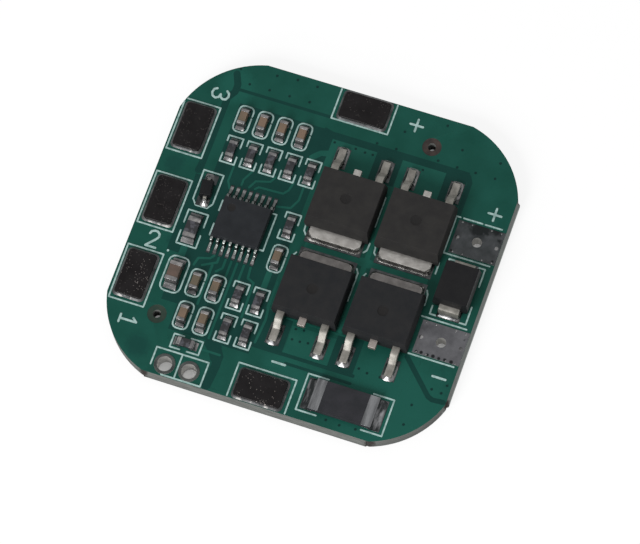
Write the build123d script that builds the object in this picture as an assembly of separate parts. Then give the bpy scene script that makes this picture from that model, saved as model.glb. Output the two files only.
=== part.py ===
from build123d import *
import os
from math import acos, cos, hypot, pi, sin, sqrt, tan

os.makedirs("parts", exist_ok=True)

# Battery management board for a pack of four round cells.
# Millimetres. X runs along the bottom edge, Y towards the edge with the pack's positive plate,
# Z up out of the component side. The origin is the bottom centre of the bare board.

# Board. Its width and height come from what it carries, further down.
board_t = 1.6
cell_d = 18.5             # the corners follow the cells of the pack
corner_inset = 9.0        # each corner arc's centre, in from the board's straight edges
score_lip = 0.25          # snapped web that stands out of the right and bottom edges
score_depth = 0.5         # depth of the V score on each face
mask_recess = 0.03        # bare laminate round a tooling hole lies this much under the mask

# Copper and tin
land_t = 0.05             # a tinned land stands this much above the mask
plating = 0.16            # wall of a plated hole, with its tin
ring_w = 0.14             # how far the ring round a plated hole passes its wall

# Holes
wire_hole_r = 0.5         # output wire holes, finished
lead_hole_r = 0.75        # thermistor lead holes, finished
lead_hole_pitch = 2.5
lead_holes_left = 9.2     # middle of the thermistor pair, in from the left edge
lead_holes_bottom = 1.5   # hole centres, in from the bottom edge
tooling_r = 0.4
tooling_clear_r = 0.95
tooling_upper_x = 7.55
tooling_upper_top = 3.3   # in from the top edge
tooling_lower_left = 5.45
tooling_lower_bottom = 6.1
filled_via_r = 0.2
filled_via_h = 0.03
via_pitch_x = 1.0
via_pitch_y = 1.65
via_columns = (-2, -1, 0, 1, 2)
via_rows = (-1, 0, 1)

# Contact plates, for the straps to the cells
plate_w = 2.9
plate_l = 4.8
plate_t = 0.35
plate_corner = 0.35
plate_edge = 0.09         # softening of the upper edge
plate_solder = 0.2        # width of the solder round a plate
plate_solder_h = 0.22
plate_solder_top = 0.05   # what is left of its width at that height
cell_plate_y = (8.5, 0.3, -7.85)
pack_plate_x = 0.05

# Output lands
output_w = 4.75
output_h = 3.5
diode_to_plus = 0.59      # from the output diode's upper land to the positive one
diode_to_minus = 0.64

# Power transistors
fet_w = 6.6
fet_l = 5.95
fet_h = 2.3
fet_draft = 0.18          # how far the moulding tapers in at its top
fet_nose = 0.42           # the same, over the tab
fet_parting = 1.2         # height of the mould's parting line
fet_undercut = 0.08
tab_w = 5.3
tab_t = 0.5
tab_out = 1.0             # length of tab outside the moulding
tab_corner = 0.45
tab_in = 4.6              # length of tab inside the moulding
fet_lead_w = 0.76
fet_lead_t = 0.5
fet_lead_pitch = 4.57     # between the two outer leads
fet_lead_z = 1.1          # middle of a lead where it leaves the moulding
fet_knee = 0.65           # from the moulding to where the lead turns down
fet_reach = 2.8           # from the moulding to the lead's tip
fet_foot = 1.35
fet_bend = 0.45
fet_root = 0.9            # length of lead inside the moulding
fet_flank = 0.95          # length of the solder along each side of a foot
stub_out = 0.8
stub_root = 0.6           # length over which the stub climbs out of the tab
stub_rise = 0.5
dimple_r = 0.55
dimple_depth = 0.06
fet_land_w = 1.4
fet_land_l = 2.2
fet_land_past = 0.25      # land beyond the lead's tip
tab_land_side = 0.25
tab_land_past = 0.45

# Controller
ic_y = 0.2
ic_w = 5.0
ic_l = 4.4
ic_h = 0.9
ic_standoff = 0.1
ic_draft = 0.1
ic_leads_per_side = 8
ic_pitch = 0.65
ic_lead_w = 0.24
ic_lead_t = 0.14
ic_lead_root = 0.3
ic_knee = 0.3             # from the moulding to where the lead turns down
ic_reach = 1.0            # from the moulding to the lead's tip
ic_foot = 0.5
ic_bend = 0.14
ic_mark_r = 0.42
ic_mark_depth = 0.04
ic_mark_in = 1.1          # mark's centre, in from the left and top sides
ic_land_w = 0.36
ic_land_in = 0.1          # land begins this far outside the moulding
ic_land_past = 0.5
ic_solder_run = 0.4
ic_solder_h = 0.12

# Shunt resistor
shunt_size = (6.35, 3.15, 0.62)
shunt_end = 1.0
shunt_land_past = 0.85
shunt_shift = 0.75        # its middle, to the left of the right transistors' middle
shunt_bottom = 1.18       # from the bottom edge of the mask

# Output diode
diode_gap = 0.8           # from the right edge of the mask to the moulding
diode_y = 0.2
diode_w = 3.6
diode_l = 4.3
diode_h = 2.15
diode_standoff = 0.2
diode_draft = 0.15
diode_lead_w = 2.05
diode_lead_t = 0.22
diode_lead_out = 0.5
diode_lead_z = 1.15
diode_foot = 1.1
diode_root = 0.4
diode_bend = 0.3
diode_land_past = 0.3
diode_land_side = 0.15
diode_solder_h = 0.55

# Signal diode beside the controller
clamp_y = 2.6
clamp_turn = 8.0          # it sits a little askew on its lands
clamp_w = 1.25
clamp_l = 1.7
clamp_h = 0.85
clamp_draft = 0.08
clamp_standoff = 0.05
clamp_lead_w = 0.35
clamp_lead_t = 0.12
clamp_lead_z = 0.45
clamp_knee = 0.1
clamp_reach = 0.45
clamp_foot = 0.25
clamp_bend = 0.065
clamp_root = 0.2
clamp_land = (1.3, 1.0)
clamp_land_centre = 1.25
clamp_solder_run = 0.3
clamp_solder_h = 0.15

# Chip parts: length, width, height
small_resistor = (1.6, 0.8, 0.45)
small_capacitor = (1.6, 0.8, 0.8)
large_resistor = (2.0, 1.25, 0.5)
large_capacitor = (2.0, 1.25, 1.0)
small_end = 0.3
large_end = 0.4
end_wrap = 0.03           # thickness of an end's metal
cap_edge = 0.024          # softening of a capacitor's metal caps
overcoat = 0.02
land_side = 0.05          # land beyond a chip's side
small_land_past = 0.42    # land beyond a chip's end
large_land_past = 0.6
land_under = 0.35         # land under a chip's end
chip_solder_share = 0.65  # how high the solder climbs, as a share of a chip's height
lead_solder_share = 0.8   # the same, as a share of a lead's or tab's thickness
fillet_hollow = 0.15      # how near a fillet's curve comes to its corner, as a share of its sides

# Small curves are made of a few flat steps, so that the part keeps few facets
fillet_strips = 2
bend_steps = 2
corner_steps = 3
via_sides = 8
mark_sides = 16

# Gaps across the board, from its left edge to its right
left_edge_gap = 0.45
plates_to_column = 1.295
column_to_ic = 1.405
ic_to_column = 1.55
column_to_fets = 1.0
fet_column_gap = 0.6
fets_to_output = 0.33
output_gap = 0.02

# Gaps up the board through the left transistors, from its bottom edge to its top
bottom_edge_gap = 0.05
plate_to_lower_leads = 3.0
tab_to_tab = 1.5
upper_leads_to_plate = 2.75
top_edge_gap = 0.05

# Rows and columns of small chip parts
upper_columns = (0, 2.05, 4.1, 6.15, 8.2)
upper_columns_shift = 0.83   # the first one, to the right of the left column
lower_columns = (0, 2.05, 4.35, 6.45)
lower_columns_shift = 2.28
ic_to_upper_row = 2.28
upper_row_gap = 1.01
ic_to_lower_row = 2.13
lower_row_gap = 1.06
large_resistor_y = -1.65
large_capacitor_y = -6.62
right_resistor_y = 1.5
right_capacitor_y = -2.0
holes_to_sensor_resistor = 2.55

# Places across the board, measured from its left edge
left_side = left_edge_gap + 2 * plate_solder + plate_w
left_column = left_side + plates_to_column + large_capacitor[1] / 2
ic_middle = left_column + large_capacitor[1] / 2 + column_to_ic + ic_w / 2
right_column = ic_middle + ic_w / 2 + ic_to_column + small_capacitor[1] / 2
left_fet = right_column + small_capacitor[1] / 2 + column_to_fets + fet_w / 2
right_fet = left_fet + fet_w + fet_column_gap
output_middle = right_fet + fet_w / 2 + fets_to_output + output_w / 2
board_w = output_middle + output_w / 2 + output_gap + score_lip

# Places up the board, measured from its bottom edge
fet_stack = fet_land_past + fet_reach + fet_l + tab_out
lower_plate_top = score_lip + bottom_edge_gap + plate_w + 2 * plate_solder
lower_tabs = lower_plate_top + plate_to_lower_leads + fet_stack
upper_leads = lower_tabs + tab_to_tab + fet_stack
board_h = upper_leads + upper_leads_to_plate + plate_w + 2 * plate_solder + top_edge_gap

# The same places from the origin, and other lines that several pieces share
face_left = -board_w / 2
face_right = board_w / 2 - score_lip
face_top = board_h / 2
face_bottom = -board_h / 2 + score_lip
land_top = board_t + land_t
corner_r = cell_d / 2
corner_x = board_w / 2 - corner_inset
corner_y = board_h / 2 - corner_inset
side_plate_x = face_left + left_edge_gap + plate_solder + plate_w / 2
left_column_x = face_left + left_column
ic_x = face_left + ic_middle
right_column_x = face_left + right_column
left_fet_x = face_left + left_fet
right_fet_x = face_left + right_fet
output_x = face_left + output_middle
diode_x = face_right - diode_gap - diode_w / 2
shunt_x = right_fet_x - shunt_shift
lead_hole_x = face_left + lead_holes_left
top_plate_y = face_top - top_edge_gap - plate_solder - plate_w / 2
bottom_plate_y = face_bottom + bottom_edge_gap + plate_solder + plate_w / 2
lower_fets_y = -board_h / 2 + lower_tabs
upper_fets_y = lower_fets_y + tab_to_tab
shunt_y = face_bottom + shunt_bottom + shunt_size[1] / 2
lead_hole_y = -board_h / 2 + lead_holes_bottom
diode_land_end = diode_l / 2 + diode_lead_out + diode_lead_t / 2 + diode_land_past
output_plus_y = diode_y + diode_land_end + diode_to_plus + output_h / 2
output_minus_y = diode_y - diode_land_end - diode_to_minus - output_h / 2
tooling_places = (
    (tooling_upper_x, board_h / 2 - tooling_upper_top),
    (face_left + tooling_lower_left, -board_h / 2 + tooling_lower_bottom),
)
ic_land_end = ic_l / 2 + ic_reach + ic_land_past
small_span = small_capacitor[0] + 2 * small_land_past
resistor_row_y = ic_y + ic_land_end + ic_to_upper_row + small_span / 2
capacitor_row_y = resistor_row_y + small_span + upper_row_gap
lower_row_1_y = ic_y - ic_land_end - ic_to_lower_row - small_span / 2
lower_row_2_y = lower_row_1_y - small_span - lower_row_gap


def block(size_x, size_y, z_low, z_high):
    """A box centred on X and Y between two heights."""
    return Pos(0, 0, z_low) * extrude(Rectangle(size_x, size_y), z_high - z_low)


def tapered(low, high, z_low, z_high, shift_y=0.0):
    """A moulding's half: one rectangle lofted to another, whose centre may move along Y."""
    lower = Pos(0, 0, z_low) * Rectangle(*low)
    upper = Pos(0, shift_y, z_high) * Rectangle(*high)
    return loft(Sketch() + [lower, upper])


def soft_rectangle(width, length, radius):
    """A rectangle whose corners are rounded in a few straight steps."""
    points = []
    for quarter, (side, end) in enumerate([(1, 1), (-1, 1), (-1, -1), (1, -1)]):
        for step in range(corner_steps + 1):
            angle = (quarter + step / corner_steps) * pi / 2
            x = side * (width / 2 - radius) + radius * cos(angle)
            y = end * (length / 2 - radius) + radius * sin(angle)
            points.append((x, y))
    return make_face(Polyline(*points, close=True))


def bent_line(points, bend):
    """The points of a line whose corners are rounded in a few straight steps."""
    line = [points[0]]
    for before, corner, after in zip(points, points[1:], points[2:]):
        run = [corner[i] - before[i] for i in (0, 1)]
        away = [after[i] - corner[i] for i in (0, 1)]
        run = [c / hypot(*run) for c in run]
        away = [c / hypot(*away) for c in away]
        angle = acos(run[0] * away[0] + run[1] * away[1])
        inward = [(away[i] - run[i] * cos(angle)) / sin(angle) for i in (0, 1)]
        start = [corner[i] - run[i] * bend * tan(angle / 2) for i in (0, 1)]
        for step in range(bend_steps + 1):
            part = angle * step / bend_steps
            along, across = bend * sin(part), bend * (1 - cos(part))
            line.append(tuple(start[i] + run[i] * along + inward[i] * across for i in (0, 1)))
    return line + [points[-1]]


def strip(points, bend, width, thickness):
    """A bent metal strip: its middle line runs through points (y, z), and its width is along X."""
    line = bent_line(points, bend)
    normals = []
    for (y0, z0), (y1, z1) in zip(line, line[1:]):
        length = hypot(y1 - y0, z1 - z0)
        normals.append(((z0 - z1) / length, (y1 - y0) / length))
    above, below = [], []
    for (y, z), n0, n1 in zip(line, normals[:1] + normals, normals + normals[-1:]):
        share = thickness / 2 / (1 + n0[0] * n1[0] + n0[1] * n1[1])
        shift_y, shift_z = (n0[0] + n1[0]) * share, (n0[1] + n1[1]) * share
        above.append((y + shift_y, z + shift_z))
        below.append((y - shift_y, z - shift_z))
    side = make_face(Polyline(*above, *reversed(below), close=True))
    return extrude(Plane.YZ * side, width / 2, both=True)


def wedge(width, run, rise):
    """A hollow solder fillet against a wall at Y = 0: it runs out along +Y and climbs to rise."""
    corners = [(0, 0)]
    for i in range(fillet_strips + 1):
        t = i / fillet_strips
        pull = 2 * t * (1 - t) * fillet_hollow
        corners.append((run * ((1 - t) ** 2 + pull), rise * (t**2 + pull)))
    profile = make_face(Polyline(*corners, close=True))
    return extrude(Plane.YZ * profile, width / 2, both=True)


def group(solids):
    """Separate solids that share one node."""
    return Compound(children=list(solids))


def write(name, shape):
    shape.label = name
    export_step(shape, f"parts/{name}.step")


def edge_lip(length):
    """Snapped web of the V score. It stands out along +X from an edge at X = 0."""
    profile = make_face(
        Polyline(
            (0, 0),
            (score_lip, score_depth),
            (score_lip, board_t - score_depth),
            (0, board_t),
            close=True,
        )
    )
    return extrude(Plane.XZ * profile, length / 2, both=True)


def board():
    """Laminate with cell-shaped corners, scored edges and its holes."""
    outline = RectangleRounded(2 * (corner_x + corner_r), 2 * (corner_y + corner_r), corner_r)
    face = Pos((face_left + face_right) / 2, (face_bottom + face_top) / 2) * Rectangle(
        face_right - face_left, face_top - face_bottom
    )
    plate = extrude(outline & face, board_t)

    # Half lengths of the straight edges, where the arcs meet them
    bottom_half = corner_x + sqrt(corner_r**2 - (-face_bottom - corner_y) ** 2)
    right_half = corner_y + sqrt(corner_r**2 - (face_right - corner_x) ** 2)
    plate += Pos(face_right, 0, 0) * edge_lip(2 * (right_half - score_lip))
    plate += Pos(0, face_bottom, 0) * Rot(0, 0, -90) * edge_lip(2 * (bottom_half - score_lip))

    for x, y in tooling_places:
        plate -= Pos(x, y, board_t / 2) * Cylinder(tooling_r, 2 * board_t)
        plate -= Pos(x, y, board_t) * Cylinder(tooling_clear_r, 2 * mask_recess)
    for x, y, r in plated_holes():
        plate -= Pos(x, y, board_t / 2) * Cylinder(r + plating, 2 * board_t)
        plate -= Pos(x, y, 0) * Cylinder(r + plating + ring_w, 2 * land_t)
    return plate


def plated_holes():
    """Places and finished radii of the plated holes."""
    half = lead_hole_pitch / 2
    return [
        (lead_hole_x - half, lead_hole_y, lead_hole_r),
        (lead_hole_x + half, lead_hole_y, lead_hole_r),
        (output_x, output_plus_y, wire_hole_r),
        (output_x, output_minus_y, wire_hole_r),
    ]


def eyelet(r):
    """Plated barrel with a ring on each face; the lower ring is flush with the underside."""
    barrel = Pos(0, 0, land_top / 2) * Cylinder(r + plating, land_top)
    lower = Pos(0, 0, land_t / 2) * Cylinder(r + plating + ring_w, land_t)
    upper = Pos(0, 0, board_t + land_t / 2) * Cylinder(r + plating + ring_w, land_t)
    bore = Pos(0, 0, land_top / 2) * Cylinder(r, 2 * land_top)
    return barrel + lower + upper - bore


def output_land():
    """Tinned land for an output wire, in one with the plated hole through its middle."""
    land = block(output_w, output_h, board_t, land_top)
    return land + eyelet(wire_hole_r) - Pos(0, 0, land_top / 2) * Cylinder(wire_hole_r, 2 * land_top)


def output_vias():
    """Solder-filled vias of one output land, as low domes in a grid round the wire hole."""
    dome = Pos(0, 0, land_top) * extrude(RegularPolygon(filled_via_r, via_sides), filled_via_h)
    clear_of_hole = wire_hole_r + plating + ring_w + filled_via_r
    edge = output_h / 2 - filled_via_r
    domes = []
    for row in via_rows:
        for column in via_columns:
            x = column * via_pitch_x
            y = max(-edge, min(edge, row * via_pitch_y))
            if sqrt(x**2 + y**2) > clear_of_hole:
                domes.append(Pos(x, y, 0) * dome)
    return domes


def contact_plate():
    """Nickel plate with rounded corners and a broken upper edge."""
    plate = extrude(soft_rectangle(plate_w, plate_l, plate_corner), plate_t)
    return chamfer(plate.edges().group_by(Axis.Z)[-1], plate_edge)


def plate_fillet():
    """Solder that climbs round a contact plate from its land."""
    low, high = [
        soft_rectangle(plate_w + 2 * past, plate_l + 2 * past, plate_corner + past)
        for past in (plate_solder, plate_solder_top)
    ]
    skirt = loft(Sketch() + [low, Pos(0, 0, plate_solder_h) * high])
    seat = extrude(soft_rectangle(plate_w, plate_l, plate_corner), plate_t)
    return skirt - seat


def plate_land():
    outline = soft_rectangle(
        plate_w + 2 * plate_solder, plate_l + 2 * plate_solder, plate_corner + plate_solder
    )
    return extrude(outline, land_t)


def fet_tab():
    """Drain tab with its cut corners, and the cropped middle lead that grows out of it."""
    length = tab_out + tab_in
    end = tab_out + fet_l + stub_out
    low = fet_lead_z - fet_lead_t / 2
    high = fet_lead_z + fet_lead_t / 2
    tab = Pos(0, length / 2, 0) * block(tab_w, length, 0, tab_t)
    tab = chamfer(tab.edges().filter_by(Axis.Z).group_by(Axis.Y)[0], tab_corner)
    side = make_face(
        Polyline(
            (length - stub_root, 0),
            (length, 0),
            (length + stub_rise, low),
            (end, low),
            (end, high),
            (length, high),
            (length - stub_root, tab_t),
            close=True,
        )
    )
    return tab + extrude(Plane.YZ * side, fet_lead_w / 2, both=True)


def fet_lead():
    """Gull-wing lead, from inside the moulding to its tip on the land."""
    edge = tab_out + fet_l
    tip = edge + fet_reach
    points = [
        (edge - fet_root, fet_lead_z),
        (edge + fet_knee, fet_lead_z),
        (tip - fet_foot, fet_lead_t / 2),
        (tip, fet_lead_t / 2),
    ]
    return strip(points, fet_bend, fet_lead_w, fet_lead_t)


def fet_leads():
    lead = fet_lead()
    return [Pos(side * fet_lead_pitch / 2, 0, 0) * lead for side in (-1, 1)]


def fet_body():
    """Moulding: tapered halves over the parting line, with the ejector dimple in its top."""
    widest = (fet_w, fet_l)
    foot = (fet_w - 2 * fet_undercut, fet_l - 2 * fet_undercut)
    top = (fet_w - 2 * fet_draft, fet_l - fet_draft - fet_nose)
    middle = Pos(0, tab_out + fet_l / 2, 0)
    lower = middle * tapered(foot, widest, land_t, fet_parting)
    upper = middle * tapered(widest, top, fet_parting, fet_h, (fet_nose - fet_draft) / 2)
    moulding = lower + upper
    dimple = extrude(RegularPolygon(dimple_r, mark_sides), 2 * dimple_depth)
    moulding -= middle * Pos(0, fet_draft, fet_h - dimple_depth) * dimple
    moulding -= fet_tab()
    for lead in fet_leads():
        moulding -= lead
    return moulding


def fet_lands():
    edge = tab_out + fet_l
    tip = edge + fet_reach
    tab_length = tab_out + tab_in + tab_land_past
    lands = [
        Pos(0, tab_length / 2 - tab_land_past, 0)
        * block(tab_w + 2 * tab_land_side, tab_length, -land_t, 0)
    ]
    for side in (-1, 1):
        centre_y = tip + fet_land_past - fet_land_l / 2
        lands.append(
            Pos(side * fet_lead_pitch / 2, centre_y, 0) * block(fet_land_w, fet_land_l, -land_t, 0)
        )
    return lands


def fet_solder():
    """Fillets before the tab and past each lead's tip and sides."""
    tip = tab_out + fet_l + fet_reach
    climb = fet_lead_t * lead_solder_share
    front = wedge(tab_w - 2 * tab_corner, tab_land_past, tab_t * lead_solder_share)
    joints = [Rot(0, 0, 180) * front]
    flank = wedge(fet_flank, (fet_land_w - fet_lead_w) / 2, climb)
    for side in (-1, 1):
        x = side * fet_lead_pitch / 2
        joints.append(Pos(x, tip, 0) * wedge(fet_lead_w, fet_land_past, climb))
        for edge, turn in ((1, -90), (-1, 90)):
            shift = edge * fet_lead_w / 2
            joints.append(Pos(x + shift, tip - fet_flank / 2, 0) * Rot(0, 0, turn) * flank)
    return joints


def ic_body():
    """Thin moulding with tapered halves and the round mark in its top."""
    low = ic_standoff
    high = ic_standoff + ic_h
    middle = (low + high) / 2
    small = (ic_w - 2 * ic_draft, ic_l - 2 * ic_draft)
    moulding = tapered(small, (ic_w, ic_l), low, middle)
    moulding += tapered((ic_w, ic_l), small, middle, high)
    mark = (-ic_w / 2 + ic_mark_in, ic_l / 2 - ic_mark_in)
    moulding -= Pos(*mark, high - ic_mark_depth) * extrude(
        RegularPolygon(ic_mark_r, mark_sides), 2 * ic_mark_depth
    )
    for lead in ic_leads():
        moulding -= lead
    return moulding


def ic_leads():
    exit_z = ic_standoff + ic_h / 2
    edge = ic_l / 2
    tip = edge + ic_reach
    points = [
        (edge - ic_lead_root, exit_z),
        (edge + ic_knee, exit_z),
        (tip - ic_foot, ic_lead_t / 2),
        (tip, ic_lead_t / 2),
    ]
    lead = strip(points, ic_bend, ic_lead_w, ic_lead_t)
    start = -(ic_leads_per_side - 1) / 2 * ic_pitch
    row = [Pos(start + i * ic_pitch, 0, 0) * lead for i in range(ic_leads_per_side)]
    return row + [Rot(0, 0, 180) * item for item in row]


def ic_lands_and_solder():
    start = -(ic_leads_per_side - 1) / 2 * ic_pitch
    near = ic_l / 2 + ic_land_in
    far = ic_l / 2 + ic_reach + ic_land_past
    land = Pos(0, (near + far) / 2, 0) * block(ic_land_w, far - near, -land_t, 0)
    joint = Pos(0, ic_l / 2 + ic_reach, 0) * wedge(ic_lead_w, ic_solder_run, ic_solder_h)
    lands = []
    joints = []
    for turn in (0, 180):
        for i in range(ic_leads_per_side):
            place = Rot(0, 0, turn) * Pos(start + i * ic_pitch, 0, 0)
            lands.append(place * land)
            joints.append(place * joint)
    return lands, joints


def resistor_body(size, end):
    """Ceramic chip between its ends, under a raised overcoat. Its length is along Y."""
    length, width, height = size
    chip = block(width, length - 2 * end_wrap, end_wrap, height - overcoat)
    return chip + block(width, length - 2 * end, height - overcoat, height + overcoat)


def resistor_ends(size, end):
    """The two metal ends, which wrap over and under the chip."""
    length, width, height = size
    core = block(width, length - 2 * end_wrap, end_wrap, height - overcoat)
    block_end = Pos(0, length / 2 - end / 2, 0) * block(width, end, 0, height)
    metal = block_end - core
    return [metal, Rot(0, 0, 180) * metal]


def capacitor_body(size):
    """Ceramic block inside its end caps. Its length is along Y."""
    length, width, height = size
    return block(width - 2 * end_wrap, length - 2 * end_wrap, end_wrap, height - end_wrap)


def capacitor_ends(size, end):
    """The two metal caps, which cover five sides of the block's ends."""
    length, width, height = size
    cap = Pos(0, length / 2 - end / 2, 0) * block(width, end, 0, height)
    metal = chamfer(cap.edges().group_by(Axis.Y)[-1], cap_edge) - capacitor_body(size)
    return [metal, Rot(0, 0, 180) * metal]


def chip_lands(size, past):
    length, width = size[:2]
    run = past + land_under
    land = Pos(0, length / 2 + past - run / 2, 0) * block(width + 2 * land_side, run, -land_t, 0)
    return [land, Rot(0, 0, 180) * land]


def chip_solder(size, past):
    length, width, height = size
    joint = Pos(0, length / 2, 0) * wedge(width, past, height * chip_solder_share)
    return [joint, Rot(0, 0, 180) * joint]


def diode_body():
    """Moulding on its bent leads, tapered from the parting line."""
    low = diode_standoff
    high = diode_standoff + diode_h
    small = (diode_w - 2 * diode_draft, diode_l - 2 * diode_draft)
    moulding = tapered(small, (diode_w, diode_l), low, diode_lead_z)
    moulding += tapered((diode_w, diode_l), small, diode_lead_z, high)
    for lead in diode_leads():
        moulding -= lead
    return moulding


def diode_leads():
    """Flat leads that leave the ends, turn down and fold back under the moulding."""
    edge = diode_l / 2
    out = edge + diode_lead_out
    points = [
        (edge - diode_root, diode_lead_z),
        (out, diode_lead_z),
        (out, diode_lead_t / 2),
        (out - diode_foot, diode_lead_t / 2),
    ]
    lead = strip(points, diode_bend, diode_lead_w, diode_lead_t)
    return [lead, Rot(0, 0, 180) * lead]


def diode_lands_and_solder():
    far = diode_l / 2 + diode_lead_out + diode_lead_t / 2
    run = diode_foot + diode_land_past
    width = diode_lead_w + 2 * diode_land_side
    land = Pos(0, far + diode_land_past - run / 2, 0) * block(width, run, -land_t, 0)
    joint = Pos(0, far, 0) * wedge(diode_lead_w, diode_land_past, diode_solder_h)
    return [land, Rot(0, 0, 180) * land], [joint, Rot(0, 0, 180) * joint]


def clamp_body():
    low = clamp_standoff
    high = clamp_standoff + clamp_h
    small = (clamp_w - 2 * clamp_draft, clamp_l - 2 * clamp_draft)
    moulding = tapered(small, (clamp_w, clamp_l), low, clamp_lead_z)
    moulding += tapered((clamp_w, clamp_l), small, clamp_lead_z, high)
    for lead in clamp_leads():
        moulding -= lead
    return moulding


def clamp_leads():
    edge = clamp_l / 2
    tip = edge + clamp_reach
    points = [
        (edge - clamp_root, clamp_lead_z),
        (edge + clamp_knee, clamp_lead_z),
        (tip - clamp_foot, clamp_lead_t / 2),
        (tip, clamp_lead_t / 2),
    ]
    lead = strip(points, clamp_bend, clamp_lead_w, clamp_lead_t)
    return [lead, Rot(0, 0, 180) * lead]


def clamp_solder():
    tip = clamp_l / 2 + clamp_reach
    joint = Pos(0, tip, 0) * wedge(clamp_lead_w, clamp_solder_run, clamp_solder_h)
    return [joint, Rot(0, 0, 180) * joint]


# Where each chip part sits: x, y and the turn of its length from Y
upper_x = [left_column_x + upper_columns_shift + x for x in upper_columns]
lower_x = [left_column_x + lower_columns_shift + x for x in lower_columns]
lower_y = (lower_row_1_y, lower_row_2_y)
capacitor_places = [(x, capacitor_row_y, 0) for x in upper_x[:4]]
capacitor_places += [(x, y, 0) for y in lower_y for x in lower_x[:2]]
capacitor_places += [(right_column_x, right_capacitor_y, 0)]
resistor_places = [(x, resistor_row_y, 0) for x in upper_x]
resistor_places += [(x, y, 0) for y in lower_y for x in lower_x[2:]]
resistor_places += [(right_column_x, right_resistor_y, 0)]
resistor_places += [(lead_hole_x, lead_hole_y + holes_to_sensor_resistor, 90)]
large_capacitor_place = (left_column_x, large_capacitor_y, 0)
large_resistor_place = (left_column_x, large_resistor_y, 0)

# Where each transistor sits: name, x, y and turn
fet_places = [
    ("upper_left", left_fet_x, upper_fets_y, 0),
    ("upper_right", right_fet_x, upper_fets_y, 0),
    ("lower_left", left_fet_x, lower_fets_y, 180),
    ("lower_right", right_fet_x, lower_fets_y, 180),
]


def at(x, y, turn=0):
    """A place on top of the lands."""
    return Pos(x, y, land_top) * Rot(0, 0, turn)


power_lands = []
signal_lands = []
power_solder = []
signal_solder = []

write("board", board())

# Output lands, thermistor eyelets
write("output_land_plus", Pos(output_x, output_plus_y, 0) * output_land())
write("output_land_minus", Pos(output_x, output_minus_y, 0) * output_land())
for y in (output_plus_y, output_minus_y):
    power_solder += [Pos(output_x, y, 0) * dome for dome in output_vias()]
for side, name in ((-1, "left"), (1, "right")):
    x = lead_hole_x + side * lead_hole_pitch / 2
    write(f"thermistor_eyelet_{name}", Pos(x, lead_hole_y, 0) * eyelet(lead_hole_r))

# Contact plates
plate_places = [
    (f"cell_plate_{i + 1}", side_plate_x, y, 0) for i, y in enumerate(reversed(cell_plate_y))
]
plate_places += [
    ("pack_plate_plus", pack_plate_x, top_plate_y, 90),
    ("pack_plate_minus", pack_plate_x, bottom_plate_y, 90),
]
plate_solder_rings = []
for name, x, y, turn in plate_places:
    write(name, at(x, y, turn) * contact_plate())
    plate_solder_rings.append(at(x, y, turn) * plate_fillet())
    power_lands.append(Pos(0, 0, -land_t) * at(x, y, turn) * plate_land())
write("plate_solder", group(plate_solder_rings))

# Power transistors
for name, x, y, turn in fet_places:
    place = at(x, y, turn)
    write(f"transistor_{name}_body", place * fet_body())
    write(f"transistor_{name}_tab", place * fet_tab())
    write(f"transistor_{name}_leads", group(place * lead for lead in fet_leads()))
    power_lands += [place * land for land in fet_lands()]
    power_solder += [place * joint for joint in fet_solder()]

# Controller
ic_place = at(ic_x, ic_y)
write("controller_body", ic_place * ic_body())
write("controller_leads", group(ic_place * lead for lead in ic_leads()))
lands, joints = ic_lands_and_solder()
signal_lands += [ic_place * land for land in lands]
signal_solder += [ic_place * joint for joint in joints]

# Shunt resistor, its length along X
shunt_place = at(shunt_x, shunt_y, 90)
write("shunt_body", shunt_place * resistor_body(shunt_size, shunt_end))
write("shunt_ends", group(shunt_place * end for end in resistor_ends(shunt_size, shunt_end)))
power_lands += [shunt_place * land for land in chip_lands(shunt_size, shunt_land_past)]
power_solder += [shunt_place * joint for joint in chip_solder(shunt_size, shunt_land_past)]

# Output diode
diode_place = at(diode_x, diode_y)
write("output_diode_body", diode_place * diode_body())
write("output_diode_leads", group(diode_place * lead for lead in diode_leads()))
lands, joints = diode_lands_and_solder()
power_lands += [diode_place * land for land in lands]
power_solder += [diode_place * joint for joint in joints]

# Signal diode, askew on lands that lie straight
clamp_place = at(left_column_x, clamp_y, clamp_turn)
write("signal_diode_body", clamp_place * clamp_body())
write("signal_diode_leads", group(clamp_place * lead for lead in clamp_leads()))
signal_solder += [clamp_place * joint for joint in clamp_solder()]
for side in (-1, 1):
    land = Pos(0, side * clamp_land_centre, 0) * block(*clamp_land, -land_t, 0)
    signal_lands.append(at(left_column_x, clamp_y) * land)

# Capacitors
end_metal = []
for number, (x, y, turn) in enumerate(capacitor_places, 1):
    place = at(x, y, turn)
    write(f"capacitor_{number}", place * capacitor_body(small_capacitor))
    end_metal += [place * end for end in capacitor_ends(small_capacitor, small_end)]
    signal_lands += [place * land for land in chip_lands(small_capacitor, small_land_past)]
    signal_solder += [place * joint for joint in chip_solder(small_capacitor, small_land_past)]
place = at(*large_capacitor_place)
write("capacitor_large", place * capacitor_body(large_capacitor))
end_metal += [place * end for end in capacitor_ends(large_capacitor, large_end)]
signal_lands += [place * land for land in chip_lands(large_capacitor, large_land_past)]
signal_solder += [place * joint for joint in chip_solder(large_capacitor, large_land_past)]
write("capacitor_ends", group(end_metal))

# Resistors
end_metal = []
for number, (x, y, turn) in enumerate(resistor_places, 1):
    place = at(x, y, turn)
    write(f"resistor_{number}", place * resistor_body(small_resistor, small_end))
    end_metal += [place * end for end in resistor_ends(small_resistor, small_end)]
    signal_lands += [place * land for land in chip_lands(small_resistor, small_land_past)]
    signal_solder += [place * joint for joint in chip_solder(small_resistor, small_land_past)]
place = at(*large_resistor_place)
write("resistor_large", place * resistor_body(large_resistor, large_end))
end_metal += [place * end for end in resistor_ends(large_resistor, large_end)]
signal_lands += [place * land for land in chip_lands(large_resistor, large_land_past)]
signal_solder += [place * joint for joint in chip_solder(large_resistor, large_land_past)]
write("resistor_ends", group(end_metal))

write("power_lands", group(power_lands))
write("signal_lands", group(signal_lands))
write("power_solder", group(power_solder))
write("signal_solder", group(signal_solder))
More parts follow.
